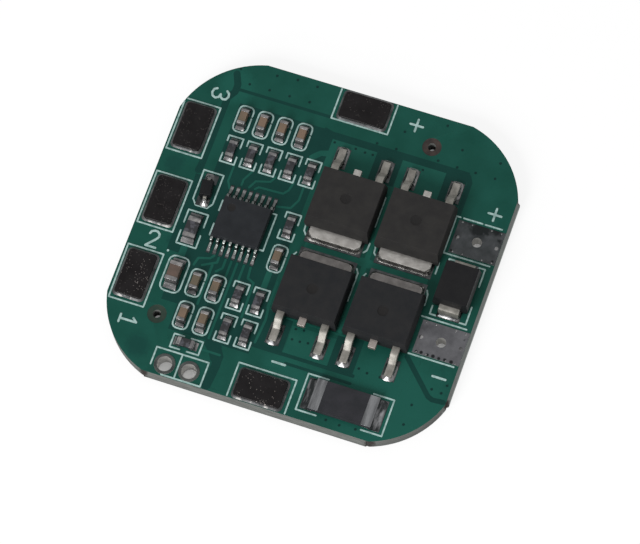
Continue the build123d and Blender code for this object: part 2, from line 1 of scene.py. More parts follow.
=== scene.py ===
import math

import bmesh
import bpy
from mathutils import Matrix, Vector


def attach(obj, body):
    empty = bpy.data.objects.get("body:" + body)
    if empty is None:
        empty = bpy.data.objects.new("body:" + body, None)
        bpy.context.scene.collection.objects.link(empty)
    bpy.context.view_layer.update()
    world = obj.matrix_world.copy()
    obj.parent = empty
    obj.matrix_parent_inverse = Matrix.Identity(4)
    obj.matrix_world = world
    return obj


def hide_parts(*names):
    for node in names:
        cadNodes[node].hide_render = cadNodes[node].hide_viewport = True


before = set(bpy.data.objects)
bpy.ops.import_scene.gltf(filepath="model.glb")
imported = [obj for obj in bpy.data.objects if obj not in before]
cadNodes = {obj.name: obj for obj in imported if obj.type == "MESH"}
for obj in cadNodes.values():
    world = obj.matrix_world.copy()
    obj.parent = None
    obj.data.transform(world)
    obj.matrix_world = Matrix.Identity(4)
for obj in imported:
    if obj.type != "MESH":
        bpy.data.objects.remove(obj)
for spareName in ("Cube", "Light", "Camera"):
    if spareName in bpy.data.objects:
        bpy.data.objects.remove(bpy.data.objects[spareName])
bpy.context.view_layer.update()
mm = 0.001
print("CAD parts loaded:", len(cadNodes))


# ways of working

def clearPick():
    if bpy.context.mode != "OBJECT":
        bpy.ops.object.mode_set(mode="OBJECT")
    bpy.ops.object.select_all(action="DESELECT")


def pickOnly(piece):
    clearPick()
    piece.select_set(True)
    bpy.context.view_layer.objects.active = piece


def pickParts(piece, kind, wanted):
    # vertices, edges or faces of the piece in edit mode that pass the test
    bpy.ops.mesh.select_mode(type=kind)
    bpy.ops.mesh.select_all(action="DESELECT")
    shape = bmesh.from_edit_mesh(piece.data)
    for part in {"VERT": shape.verts, "EDGE": shape.edges, "FACE": shape.faces}[kind]:
        if wanted(part):
            part.select_set(True)
    bmesh.update_edit_mesh(piece.data)


def applyAll(piece):
    pickOnly(piece)
    for modifier in list(piece.modifiers):
        bpy.ops.object.modifier_apply(modifier=modifier.name)


def finishPiece(piece, name, material, nodeNames=(), smoothAngle=35):
    pickOnly(piece)
    bpy.ops.object.transform_apply(location=True, rotation=True, scale=True)
    bpy.ops.object.shade_smooth_by_angle(angle=math.radians(smoothAngle))
    piece.name = name
    piece.data.name = name
    piece.data.materials.clear()
    piece.data.materials.append(material)
    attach(piece, "root")
    if nodeNames:
        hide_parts(*nodeNames)


copyLook = {
    "mergeReach": 0.0005,  # millimetres
    "flatAngle": 1,        # degrees
}


def softCopy(nodeNames, name, material, edgeSoft, slotName, steps=2, sharpFrom=30, tidyFaces=True):
    # a merged copy of CAD parts whose edges catch the light
    clearPick()
    for nodeName in nodeNames:
        copy = bpy.data.objects.new(name + nodeName, cadNodes[nodeName].data.copy())
        bpy.context.collection.objects.link(copy)
        copy.select_set(True)
        bpy.context.view_layer.objects.active = copy
    if len(nodeNames) > 1:
        bpy.ops.object.join()
    copy = bpy.context.view_layer.objects.active
    bpy.ops.object.mode_set(mode="EDIT")
    bpy.ops.mesh.select_all(action="SELECT")
    bpy.ops.mesh.remove_doubles(threshold=copyLook["mergeReach"] * mm)
    if tidyFaces:
        bpy.ops.mesh.dissolve_limited(angle_limit=math.radians(copyLook["flatAngle"]))
    bpy.ops.object.mode_set(mode="OBJECT")
    if edgeSoft:
        bevel = copy.modifiers.new("soften", "BEVEL")
        bevel.width = edgeSoft * mm
        bevel.segments = steps
        bevel.limit_method = "ANGLE"
        bevel.angle_limit = math.radians(sharpFrom)
        bevel.harden_normals = False
        applyAll(copy)
    finishPiece(copy, name, material, nodeNames)
    if edgeSoft:
        # the broad faces stay flat beside their softened edges
        flatter = copy.modifiers.new("flatten", "WEIGHTED_NORMAL")
        flatter.keep_sharp = True
        applyAll(copy)


def joinPlaced(master, places):
    # the master's copies at x, y and turn, as one object; the master goes
    clearPick()
    for x, y, turn in places:
        copy = master.copy()
        copy.data = master.data.copy()
        copy.location = (x * mm, y * mm, 0)
        copy.rotation_euler = (0, 0, math.radians(turn))
        bpy.context.collection.objects.link(copy)
        copy.select_set(True)
        bpy.context.view_layer.objects.active = copy
    bpy.ops.object.transform_apply(location=True, rotation=True, scale=True)
    if len(places) > 1:
        bpy.ops.object.join()
    joined = bpy.context.view_layer.objects.active
    bpy.data.objects.remove(master)
    return joined


def joinPieces(pieces):
    clearPick()
    for piece in pieces:
        piece.select_set(True)
        bpy.context.view_layer.objects.active = piece
    bpy.ops.object.join()
    return bpy.context.view_layer.objects.active


def turnedPairs(places, turn=0):
    # each place twice, the second time turned round
    return [(x, y, turn + half) for x, y in places for half in (0, 180)]


# shader nodes

def tone(colour):
    # red, green and blue as the eye names them, 0 to 255, made linear
    return tuple(((part / 255 + 0.055) / 1.055) ** 2.4 for part in colour) + (1.0,)


def isSocket(value):
    return isinstance(value, bpy.types.NodeSocket)


def feed(tree, socket, value):
    if isSocket(value):
        tree.links.new(value, socket)
    else:
        socket.default_value = value


def addNode(tree, kind, inputs, **settings):
    # a node with its inputs given or linked; what it puts out comes back
    node = tree.nodes.new("ShaderNode" + kind)
    for setting, value in settings.items():
        setattr(node, setting, value)
    for key, value in inputs.items():
        feed(tree, node.inputs[key], value)
    return node.outputs


def addMath(tree, operation, *values):
    return addNode(tree, "Math", dict(enumerate(values)), operation=operation)[0]


def addMix(tree, share, *colours):
    first, second = (colour if isSocket(colour) else tone(colour) for colour in colours)
    return addNode(tree, "Mix", {0: share, 6: first, 7: second}, data_type="RGBA")[2]


def addRange(tree, value, low, high, toLow=0.0, toHigh=1.0):
    inputs = {"Value": value, "From Min": low, "From Max": high, "To Min": toLow, "To Max": toHigh}
    return addNode(tree, "MapRange", inputs)["Result"]


def addSplit(tree, vector):
    return addNode(tree, "SeparateXYZ", {0: vector})


def startGroup(name, inputs, outputs):
    # a node group with its sockets by name and kind: the tree, what it is given and what it makes
    group = bpy.data.node_groups.new(name, "ShaderNodeTree")
    for way, sockets in (("INPUT", inputs), ("OUTPUT", outputs)):
        for socketName, kind in sockets.items():
            group.interface.new_socket(name=socketName, in_out=way, socket_type="NodeSocket" + kind)
    return group, group.nodes.new("NodeGroupInput").outputs, group.nodes.new("NodeGroupOutput").inputs


def makeToneField():
    # cloudy change from one tone to another
    group, given, made = startGroup(
        "toneField",
        {"Vector": "Vector", "Scale": "Float", "Detail": "Float", "Start": "Float", "End": "Float",
         "Tone one": "Color", "Tone two": "Color"},
        {"Tone": "Color", "Mask": "Float"},
    )
    cloud = addNode(group, "TexNoise", {key: given[key] for key in ("Vector", "Scale", "Detail")})
    mask = addRange(group, cloud["Fac"], given["Start"], given["End"])
    feed(group, made["Tone"], addMix(group, mask, given["Tone one"], given["Tone two"]))
    feed(group, made["Mask"], mask)
    return group


def makeSpecks():
    # scattered round specks
    group, given, made = startGroup(
        "specks",
        {"Vector": "Vector", "Scale": "Float", "Size": "Float", "Share": "Float"},
        {"Mask": "Float"},
    )
    cells = addNode(group, "TexVoronoi", {key: given[key] for key in ("Vector", "Scale")})
    near = addMath(group, "LESS_THAN", cells["Distance"], given["Size"])
    draw = addNode(group, "SeparateColor", {0: cells["Color"]})[0]
    chosen = addMath(group, "LESS_THAN", draw, given["Share"])
    feed(group, made["Mask"], addMath(group, "MULTIPLY", near, chosen))
    return group


spotLook = {
    "ripple": {"Scale": 3200, "Detail": 3.0},
    "fade": (1.15, 0.75),  # shares of the reach, from nothing to full
}


def makeSpot():
    # a soft round place on the board, whatever its height, with a ragged rim if wanted
    group, given, made = startGroup(
        "spot",
        {"Vector": "Vector", "Centre": "Vector", "Radius": "Float", "Ragged": "Float"},
        {"Mask": "Float"},
    )
    ripple = addNode(group, "TexNoise", {"Vector": given["Vector"], **spotLook["ripple"]})["Fac"]
    flat = addNode(group, "VectorMath", {0: given["Vector"], 1: (1, 1, 0)}, operation="MULTIPLY")[0]
    away = addNode(group, "VectorMath", {0: flat, 1: given["Centre"]}, operation="DISTANCE")["Value"]
    wander = addMath(group, "MULTIPLY_ADD", ripple, given["Ragged"], away)
    share = addMath(group, "DIVIDE", wander, given["Radius"])
    feed(group, made["Mask"], addRange(group, share, *spotLook["fade"]))
    return group


toneField = makeToneField()
specks = makeSpecks()
spot = makeSpot()


def addClouds(tree, vector, scale, detail, start, end, tones=()):
    inputs = {"Vector": vector, "Scale": scale, "Detail": detail, "Start": start, "End": end}
    for key, colour in zip(("Tone one", "Tone two"), tones):
        inputs[key] = tone(colour)
    return addNode(tree, "Group", inputs, node_tree=toneField)


def addSpots(tree, place, spots, ragged=0.0):
    # one mask of several spots, each middle x, middle y and reach in millimetres
    mask = None
    for x, y, reach in spots:
        inputs = {"Vector": place, "Centre": (x * mm, y * mm, 0), "Radius": reach * mm, "Ragged": ragged * mm}
        mark = addNode(tree, "Group", inputs, node_tree=spot)["Mask"]
        mask = mark if mask is None else addMath(tree, "MAXIMUM", mask, mark)
    return mask


sideSlope = 0.7  # a normal's upward share below which a surface counts as a side


def addSideMask(tree):
    # 1 where the surface stands upright
    upward = addSplit(tree, addNode(tree, "TexCoord", {})["Normal"])["Z"]
    return addMath(tree, "LESS_THAN", addMath(tree, "ABSOLUTE", upward), sideSlope)


def addBump(tree, shader, height, depth):
    inputs = {"Height": height, "Strength": 1.0, "Distance": depth * mm}
    feed(tree, shader["Normal"], addNode(tree, "Bump", inputs)["Normal"])


# finishes

def startFinish(name, roughness, metallic, specular):
    # the material, its tree, its shader's inputs and the place on the piece
    material = bpy.data.materials.new(name)
    material.use_nodes = True
    tree = material.node_tree
    shader = tree.nodes["Principled BSDF"].inputs
    shader["Roughness"].default_value = roughness
    shader["Metallic"].default_value = metallic
    shader["Specular IOR Level"].default_value = specular
    return material, tree, shader, addNode(tree, "TexCoord", {})["Object"]


grainShape = (2.0, 0.2, 0.8)  # detail, start and end


def cloudyFinish(name, tones, scale, roughness, metallic=0.0, specular=0.5, start=0.35, end=0.65, detail=3.0,
                 grain=0.0, grainScale=9000, stretch=None, spots=(), spotTone=None, ragged=0.0):
    # two tones in clouds, with a fine grain, drawn out along one way if wanted
    material, tree, shader, place = startFinish(name, roughness, metallic, specular)
    cloudPlace = place
    if stretch:
        cloudPlace = addNode(tree, "Mapping", {"Vector": place, "Scale": stretch})["Vector"]
    colour = addClouds(tree, cloudPlace, scale, detail, start, end, tones)["Tone"]
    if spots:
        colour = addMix(tree, addSpots(tree, place, spots, ragged), colour, spotTone)
    feed(tree, shader["Base Color"], colour)
    if grain:
        addBump(tree, shader, addClouds(tree, place, grainScale, *grainShape)["Mask"], grain)
    return material


# clouds and ripples are scale, detail, start and end; depths are in millimetres
maskLook = {
    "roughness": 0.45,
    "metallic": 0.0,
    "specular": 0.08,
    "pour": ((18, 68, 58), (24, 76, 66)),
    "clouds": (420, 5.0, 0.3, 0.7),
    "pale": (28, 86, 75),
    "paleSpots": ((12.5, -13.0, 6.5), (1.6, -13.0, 3.0), (-13.0, 14.0, 2.5)),
    "dull": (16, 58, 53),
    "dullSpots": ((-16.0, 4.4, 1.6), (-13.6, -3.4, 1.0), (-12.8, -14.6, 1.8)),
    "patchRagged": 1.2,
    "patchShare": 0.6,
    "ripple": (3200, 4.0, 0.25, 0.75),
    "depth": 0.006,
}
edgeLook = {
    "roughness": 0.85,
    "fibre": ((86, 87, 85), (110, 112, 109)),
    "clouds": (3200, 4.0, 0.25, 0.75),
    "layers": (0.3, 0.3, 2.6),      # the noise is drawn out along the edge
    # painted light: the lower half is paler partly for the light thrown up from the floor
    "lower": (93, 95, 93),
    "lowHalf": (1.05, 0.7),         # heights between which the edge turns paler
    "outputSide": (17.12, 17.36),   # x between which the edge beside the output lands begins
    "lowerOutput": (176, 182, 179),
    "palerBesideShare": 0.25,
    "scorch": (54, 50, 48),
    "scorchSpots": ((-11.4, -17.0, 0.85), (11.8, -17.1, 0.95), (17.5, -11.0, 0.85), (17.4, 11.1, 0.75),
                    (-11.5, 16.9, 0.5), (11.5, 16.8, 0.5)),
    "scorchRagged": 0.75,
}
ringLook = {
    "between": (0.015, 1.585),      # heights of the flat places that are bare laminate
    "bare": ((42, 40, 40), (70, 60, 56)),
    "clouds": (1500, 3.0, 0.3, 0.7),
    "coated": (38, 60, 51),
    "coatedSpots": ((-12.3, -11.0, 1.3),),
    "coatedShare": 0.7,
}


def addMaskTone(tree, place):
    colour = addClouds(tree, place, *maskLook["clouds"], maskLook["pour"])["Tone"]
    for name in ("pale", "dull"):
        patches = addSpots(tree, place, maskLook[name + "Spots"], maskLook["patchRagged"])
        share = addMath(tree, "MULTIPLY", patches, maskLook["patchShare"])
        colour = addMix(tree, share, colour, maskLook[name])
    return colour


def addEdgeTone(tree, place, split):
    # layered fibre, paler in the lower half of the snapped edge, that paleness partly painted light from the
    # floor below; near white beside the output lands; scorched where the corners broke out
    layers = addNode(tree, "Mapping", {"Vector": place, "Scale": edgeLook["layers"]})["Vector"]
    fibre = addClouds(tree, layers, *edgeLook["clouds"], edgeLook["fibre"])["Tone"]
    lowHalf = addRange(tree, split["Z"], *[height * mm for height in edgeLook["lowHalf"]])
    outputSide = addRange(tree, split["X"], *[x * mm for x in edgeLook["outputSide"]])
    palerBeside = addMath(tree, "MULTIPLY", outputSide, edgeLook["palerBesideShare"])
    upper = addMix(tree, palerBeside, fibre, edgeLook["lowerOutput"])
    lower = addMix(tree, outputSide, edgeLook["lower"], edgeLook["lowerOutput"])
    scorched = addSpots(tree, place, edgeLook["scorchSpots"], edgeLook["scorchRagged"])
    return addMix(tree, scorched, addMix(tree, lowHalf, upper, lower), edgeLook["scorch"])


def addRingTone(tree, place):
    # the rings round the tooling holes, one of them partly coated
    bare = addClouds(tree, place, *ringLook["clouds"], ringLook["bare"])["Tone"]
    patches = addSpots(tree, place, ringLook["coatedSpots"])
    share = addMath(tree, "MULTIPLY", patches, ringLook["coatedShare"])
    return addMix(tree, share, bare, ringLook["coated"])


def boardFinish():
    material, tree, shader, place = startFinish("boardFinish", maskLook["roughness"], maskLook["metallic"],
                                                maskLook["specular"])
    split = addSplit(tree, place)
    sideMask = addSideMask(tree)
    low, high = ringLook["between"]
    ringMask = addMath(tree, "MULTIPLY", addMath(tree, "GREATER_THAN", split["Z"], low * mm),
                       addMath(tree, "LESS_THAN", split["Z"], high * mm))
    faceTone = addMix(tree, ringMask, addMaskTone(tree, place), addRingTone(tree, place))
    feed(tree, shader["Base Color"], addMix(tree, sideMask, faceTone, addEdgeTone(tree, place, split)))
    feed(tree, shader["Roughness"],
         addRange(tree, sideMask, 0.0, 1.0, maskLook["roughness"], edgeLook["roughness"]))
    addBump(tree, shader, addClouds(tree, place, *maskLook["ripple"])["Mask"], maskLook["depth"])
    return material


plateLook = {
    "roughness": 0.32,
    "metallic": 0.4,
    "specular": 0.12,
    # painted reflection: the near-black tones stand in for the dark room mirrored in the nickel
    "tones": ((20, 18, 19), (30, 28, 29)),
    "clouds": (700, 4.0, 0.3, 0.7),
    "speck": (132, 126, 122),
    "dust": {"Scale": 7000, "Size": 0.3, "Share": 0.3},
    "clusters": (1200, 3.0, 0.42, 0.54),
    "busySpots": ((0.05, -15.15, 2.6), (-15.5, -7.85, 2.4)),
    "busyRagged": 0.8,
    "busyShare": 0.6,
    "leastShare": 0.2,
    "ripple": (2600, 4.0, 0.25, 0.75),
    "depth": 0.006,
}


def plateFinish():
    # plates painted near-black as a painted dark reflection on the nickel, with fine bright specks, most of
    # them on two plates
    look = plateLook
    material, tree, shader, place = startFinish("plateFinish", look["roughness"], look["metallic"],
                                                look["specular"])
    paintedDarkReflection = addClouds(tree, place, *look["clouds"], look["tones"])["Tone"]
    dust = addNode(tree, "Group", {"Vector": place, **look["dust"]}, node_tree=specks)["Mask"]
    busy = addMath(tree, "MULTIPLY", addSpots(tree, place, look["busySpots"], look["busyRagged"]),
                   look["busyShare"])
    share = addMath(tree, "MULTIPLY", addMath(tree, "ADD", busy, look["leastShare"]),
                    addClouds(tree, place, *look["clusters"])["Mask"])
    specked = addMath(tree, "MULTIPLY", dust, share)
    feed(tree, shader["Base Color"], addMix(tree, specked, paintedDarkReflection, look["speck"]))
    addBump(tree, shader, addClouds(tree, place, *look["ripple"])["Mask"], look["depth"])
    return material


holedLook = {
    "metallic": 0.75,
    "specular": 0.3,
    "clouds": (1100, 5.0, 0.3, 0.7),
    "lowerClouds": (900, 5.0, 0.3, 0.7),
    "barrel": (186, 185, 181),
    "burnt": (24, 27, 28),
    "burntRagged": 1.0,
    "openRagged": 0.05,
    "depth": 0.02,
}
outputLook = {
    "roughness": 0.4,
    "tones": ((46, 49, 50), (64, 66, 68)),
    "lowerTones": ((74, 74, 77), (95, 95, 98)),
    "burntSpots": ((14.7, 6.9, 1.35), (15.3, 7.1, 1.15), (13.7, 7.4, 0.95), (16.5, 7.3, 1.0),
                   (17.0, 6.4, 0.7), (17.0, -4.3, 0.5)),
    "openSpots": ((12.95, -6.82, 0.17), (13.45, -6.78, 0.2), (14.1, -6.84, 0.18), (14.65, -6.8, 0.22),
                  (15.25, -6.84, 0.18), (15.85, -6.8, 0.2), (16.5, -6.82, 0.22), (12.8, 4.1, 0.14),
                  (17.0, 4.2, 0.16)),
}
eyeletLook = {
    "roughness": 0.35,
    "tones": ((48, 52, 52), (84, 86, 84)),
}


def holedFinish(name, tones, roughness, lowerTones=(), burntSpots=(), openSpots=()):
    # dull tin on the flat, bright tin down the barrel; other tones on the pieces below the middle
    material, tree, shader, place = startFinish(name, roughness, holedLook["metallic"], holedLook["specular"])
    clouds = addClouds(tree, place, *holedLook["clouds"], tones)
    colour = clouds["Tone"]
    if lowerTones:
        lowerTone = addClouds(tree, place, *holedLook["lowerClouds"], lowerTones)["Tone"]
        lower = addMath(tree, "LESS_THAN", addSplit(tree, place)["Y"], 0.0)
        colour = addMix(tree, lower, colour, lowerTone)
    for spots, ragged in ((burntSpots, holedLook["burntRagged"]), (openSpots, holedLook["openRagged"])):
        if spots:
            colour = addMix(tree, addSpots(tree, place, spots, ragged), colour, holedLook["burnt"])
    feed(tree, shader["Base Color"], addMix(tree, addSideMask(tree), colour, holedLook["barrel"]))
    addBump(tree, shader, clouds["Mask"], holedLook["depth"])
    return material


coated = {"scale": 420, "roughness": maskLook["roughness"], "specular": maskLook["specular"], "start": 0.3,
          "end": 0.7, "detail": 5.0, "grain": 0.006, "grainScale": 5200}
tinned = {"scale": 1300, "roughness": 0.4, "metallic": 0.6, "grain": 0.012, "grainScale": 3000}
soldered = {"roughness": 0.24, "metallic": 0.9, "grain": 0.012, "grainScale": 2400}
moulded = {"scale": 900, "roughness": 0.6, "specular": 0.1, "detail": 5.0, "grain": 0.012, "grainScale": 8000,
           # painted shade: darker discs in the moulding dimples of the four transistors
           "spots": ((1.75, 5.155, 0.55), (8.95, 5.155, 0.55), (1.75, -4.655, 0.55), (8.95, -4.655, 0.55)),
           "spotTone": (34, 33, 33)}
cloudyLooks = {
    "gap": {**coated, "tones": ((13, 53, 48), (17, 59, 53))},
    "trace": {**coated, "tones": ((22, 76, 66), (29, 84, 73))},
    # painted sheen: paler green between the transistors, lifting the pour where the bodies shade it
    "paintedSheenPour": {**coated, "tones": ((24, 84, 72), (32, 94, 81))},
    # painted shade: dark green dots stand in for the shade inside the tented via dimples
    "viaDimpleShade": {**coated, "tones": ((10, 38, 36), (16, 50, 46))},
    "ink": {"tones": ((126, 154, 150), (164, 190, 186)), "scale": 2600, "roughness": 0.6, "specular": 0.2,
            "start": 0.3, "end": 0.6},
    "tab": {**tinned, "tones": ((148, 145, 141), (174, 171, 167))},
    # painted shade: the lower row's tabs are a darker copy of the upper tabs; its two spots are painted light
    # on the middle stubs
    "lowerTab": {**tinned, "tones": ((90, 87, 85), (112, 108, 106)),
                 "spots": ((1.75, -8.1, 1.0), (8.95, -8.1, 1.0)), "spotTone": (144, 136, 131)},
    "lead": {**tinned, "tones": ((108, 106, 100), (136, 133, 127)), "roughness": 0.48},
    # painted shade: the spot darkens the controller's upper row of leads
    "fineLead": {"tones": ((104, 108, 106), (156, 160, 157)), "scale": 2600, "roughness": 0.16,
                 "metallic": 1.0, "spots": ((-7.4, 3.1, 3.0),), "spotTone": (88, 91, 90)},
    "end": {"tones": ((92, 91, 92), (134, 132, 131)), "scale": 1800, "roughness": 0.3, "metallic": 0.8,
            "grain": 0.012, "grainScale": 3500},
    "shuntEnd": {"tones": ((74, 75, 77), (114, 115, 117)), "scale": 1800, "roughness": 0.3, "metallic": 0.8,
                 "grain": 0.01, "grainScale": 2500, "stretch": (1.0, 0.12, 1.0)},
    "land": {"tones": ((40, 43, 44), (68, 70, 71)), "scale": 1200, "roughness": 0.3, "metallic": 0.85,
             "grain": 0.015, "grainScale": 1800},
    "solder": {**soldered, "tones": ((76, 76, 77), (130, 129, 129)), "scale": 800},
    "tabSolder": {**soldered, "tones": ((96, 94, 92), (142, 139, 136)), "scale": 1800, "roughness": 0.26,
                  "grain": 0.008},
    # painted highlights: the bright spots on the plate rims are painted glints
    "rimSolder": {**soldered, "tones": ((58, 60, 61), (96, 96, 97)), "scale": 1500, "roughness": 0.5,
                  "metallic": 0.7, "grain": 0.02, "ragged": 0.8, "spotTone": (138, 136, 134),
                  "spots": ((-16.1, -2.3, 0.65), (-15.2, -2.35, 0.6), (-14.4, -2.3, 0.75), (-14.9, 5.95, 0.5),
                            (-1.6, -16.75, 0.65), (-0.4, -16.75, 0.5), (1.1, -16.75, 0.55),
                            (-16.2, -10.45, 0.6), (-15.1, -10.5, 0.55))},
    # painted highlights: the bright streaks in the dark shunt solder stand in for glints
    "shuntJoint": {"tones": ((36, 39, 40), (116, 116, 118)), "scale": 2600, "roughness": 0.22,
                   "metallic": 0.85, "start": 0.45, "end": 0.68, "detail": 5.0, "grain": 0.014,
                   "grainScale": 2600, "stretch": (1.0, 0.3, 1.0)},
    "moulding": {**moulded, "tones": ((39, 38, 38), (45, 44, 43))},
    # painted shade: the lower row's bodies are a darker copy of the same moulding
    "lowerMoulding": {**moulded, "tones": ((32, 33, 35), (38, 38, 39))},
    "chip": {**moulded, "tones": ((32, 34, 37), (38, 40, 43)), "roughness": 0.5, "grain": 0.01,
             "grainScale": 9000, "spots": ((-8.8, 1.3, 0.42),)},
    "diode": {"tones": ((18, 18, 20), (23, 23, 24)), "scale": 900, "roughness": 0.42, "specular": 0.12,
              "grain": 0.01},
    "shunt": {"tones": ((40, 41, 44), (47, 47, 51)), "scale": 900, "roughness": 0.6, "specular": 0.1,
              "grain": 0.008, "grainScale": 6000},
    "resistor": {"tones": ((38, 38, 41), (72, 72, 78)), "scale": 2600, "roughness": 0.35, "specular": 0.25,
                 "start": 0.5, "end": 0.62},
    "capacitor": {"tones": ((92, 84, 70), (116, 97, 82)), "scale": 260, "roughness": 0.4, "specular": 0.2,
                  "end": 0.6, "detail": 1.0},
    "largeCapacitor": {"tones": ((80, 69, 62), (95, 79, 71)), "scale": 900, "roughness": 0.4,
                       "specular": 0.2},
}
paints = {name: cloudyFinish(name + "Finish", **look) for name, look in cloudyLooks.items()}
paints["board"] = boardFinish()
paints["plate"] = plateFinish()
paints["outputLand"] = holedFinish("outputLandFinish", **outputLook)
paints["eyelet"] = holedFinish("eyeletFinish", **eyeletLook)
print("finishes mixed")

boardLook = {
    "edgeSoft": 0.04,
    "sharpFrom": 50,
    "tidyFaces": False,
}
softCopy(["board"], "boardPiece", paints["board"], slotName="laminate", **boardLook)
print("board dressed")


# flat art: copper under the mask, painted sheen between the transistors, painted shade in the via dimples,
# and ink

def addBar(start, end, width, height):
    # a flat bar between two points, in the mesh being edited
    first, last = Vector(start), Vector(end)
    middle = (first + last) / 2
    centre = (middle.x * mm, middle.y * mm, height * mm)
    run = last - first
    bpy.ops.mesh.primitive_plane_add(size=width * mm, location=centre)
    bpy.ops.transform.resize(value=(max(run.length, width) / width, 1, 1), center_override=centre)
    bpy.ops.transform.rotate(value=-math.atan2(run.y, run.x), orient_axis="Z", center_override=centre)


def addDot(x, y, radius, height, sides):
    bpy.ops.mesh.primitive_circle_add(vertices=sides, radius=radius * mm, fill_type="NGON",
                                      location=(x * mm, y * mm, height * mm))


def addBox(left, low, right, high, height):
    centre = ((left + right) / 2 * mm, (low + high) / 2 * mm, height * mm)
    bpy.ops.mesh.primitive_plane_add(size=(high - low) * mm, location=centre)
    bpy.ops.transform.resize(value=((right - left) / (high - low), 1, 1), center_override=centre)


# shapes that lie over each other differ a little in height: boxes lowest, then bars, then dots
artLevels = {
    "step": 0.0006,
    "boxes": (0, 4),    # the first level and how many levels take turns
    "bars": (4, 5),
    "dots": (9, 7),
    "endSides": 10,
    "dotSides": 12,
}


def drawArt(name, material, height, thickness, strokes=(), dots=(), boxes=()):
    clearPick()
    bpy.ops.mesh.primitive_plane_add(size=mm)
    art = bpy.context.object
    bpy.ops.object.mode_set(mode="EDIT")
    bpy.ops.mesh.delete(type="VERT")
    count = 0

    def nextHeight(kind):
        nonlocal count
        first, levels = artLevels[kind]
        level = height + (first + count % levels) * artLevels["step"]
        count += 1
        return level

    for box in boxes:
        addBox(*box, nextHeight("boxes"))
    for width, points in strokes:
        for start, end in zip(points, points[1:]):
            addBar(start, end, width, nextHeight("bars"))
        for x, y in points:
            addDot(x, y, width / 2, nextHeight("dots"), artLevels["endSides"])
    for x, y, radius in dots:
        addDot(x, y, radius, nextHeight("dots"), artLevels["dotSides"])
    # every shape gets its thickness downwards
    bpy.ops.mesh.select_all(action="SELECT")
    bpy.ops.mesh.extrude_region_move(TRANSFORM_OT_translate={"value": (0, 0, -thickness * mm)})
    bpy.ops.mesh.select_all(action="SELECT")
    bpy.ops.mesh.normals_make_consistent(inside=False)
    bpy.ops.object.mode_set(mode="OBJECT")
    finishPiece(art, name, material)


# a box is left, low, right and high; a stroke is its width and its points
gapArt = {
    "height": 1.602,
    "thickness": 0.008,
    "boxes": (
        (-12.0, 4.6, -2.3, 12.4), (-12.3, -9.4, -2.3, 4.6), (-10.6, -12.1, -2.3, -9.4),
        (-2.3, 8.6, 12.0, 12.35), (-2.3, -11.3, 0.7, -7.2), (5.3, -11.2, 7.9, -7.4),
        (-13.6, -4.4, -12.3, 4.0),
    ),
    "strokes": (
        (1.3, ((-6.1, -12.2), (-5.6, -12.6), (-5.1, -13.4))),
        (0.9, ((-5.0, -13.3), (-4.9, -14.2), (-5.1, -16.4))),
        (0.32, ((-12.7, 13.75), (-3.0, 13.75))),
        (0.7, ((-13.4, 15.3), (-12.9, 14.2), (-12.9, 13.4), (-13.4, 12.6), (-13.4, 5.2), (-13.5, 4.4))),
        (0.5, ((11.2, 12.1), (12.0, 11.9), (12.3, 11.3), (12.3, 8.0))),
        (0.35, ((-2.0, -11.1), (8.0, -11.1))),
        (0.3, ((1.4, -11.9), (8.0, -11.9))),
        (0.5, ((12.3, -7.6), (15.5, -10.8), (16.0, -11.0), (17.1, -10.9))),
        (0.3, ((-3.0, 12.4), (-2.0, 12.1))),
    ),
}
traceArt = {
    "height": 1.614,
    "thickness": 0.008,
    "boxes": ((-2.0, 8.6, 2.65, 11.6), (5.3, 8.6, 9.8, 11.6), (0.8, -10.9, 5.3, -8.0)),
    "strokes": (
        (0.22, ((-8.3, 6.0), (-8.9, 4.8), (-8.9, 4.2))),
        (0.22, ((-6.0, 6.0), (-6.3, 5.4), (-7.7, 5.0), (-8.1, 4.2))),
        (0.22, ((-4.1, 6.0), (-4.3, 5.1), (-4.7, 4.6), (-7.2, 4.5), (-7.5, 4.2))),
        (0.22, ((-3.0, 6.1), (-3.0, 4.4), (-3.5, 3.4), (-5.0, 3.1))),
        (0.22, ((-10.3, 6.1), (-10.3, 4.2), (-9.9, 3.5))),
        (0.6, ((-1.2, 10.2), (-2.6, 9.8), (-3.3, 9.1))),
        (0.24, ((-8.9, -3.6), (-9.2, -4.0), (-10.3, -4.3), (-10.5, -5.1))),
        (0.24, ((-8.4, -3.7), (-8.4, -4.2), (-9.7, -4.9))),
        (0.24, ((-7.7, -3.7), (-7.7, -4.6), (-8.2, -5.1))),
        (0.24, ((-7.1, -3.7), (-7.1, -5.4))),
        (0.24, ((-6.5, -3.7), (-6.5, -11.8))),
        (0.24, ((-5.8, -3.7), (-5.8, -5.3))),
        (0.24, ((-5.1, -3.7), (-5.0, -4.8), (-4.3, -5.1), (-4.2, -8.8))),
        (0.26, ((-8.75, -4.6), (-8.75, -8.8))),
        (0.6, ((-3.2, -3.6), (-3.2, -5.3))),
        (0.26, ((-2.1, -4.3), (-2.1, -6.8), (-1.9, -8.3), (-2.1, -10.8))),
        (0.7, ((-12.0, -3.7), (-12.0, -4.6))),
        (0.24, ((-6.9, -13.1), (-4.9, -13.1))),
        (0.2, ((0.0, -7.5), (1.1, -7.5))), (0.2, ((2.3, -7.5), (3.4, -7.5))),
        (0.2, ((4.6, -7.5), (6.2, -7.5))),
    ),
}
# painted sheen and painted light: a paler strip and cross between the transistors, drawn as flat shapes
paintedSheenArt = {
    "height": 1.602,
    "thickness": 0.008,
    "boxes": ((-0.9, -0.02, 11.7, 0.52),),
    "strokes": ((0.5, ((5.35, -7.2), (5.35, 7.4))), (0.9, ((4.9, 0.25), (5.8, 0.25)))),
}
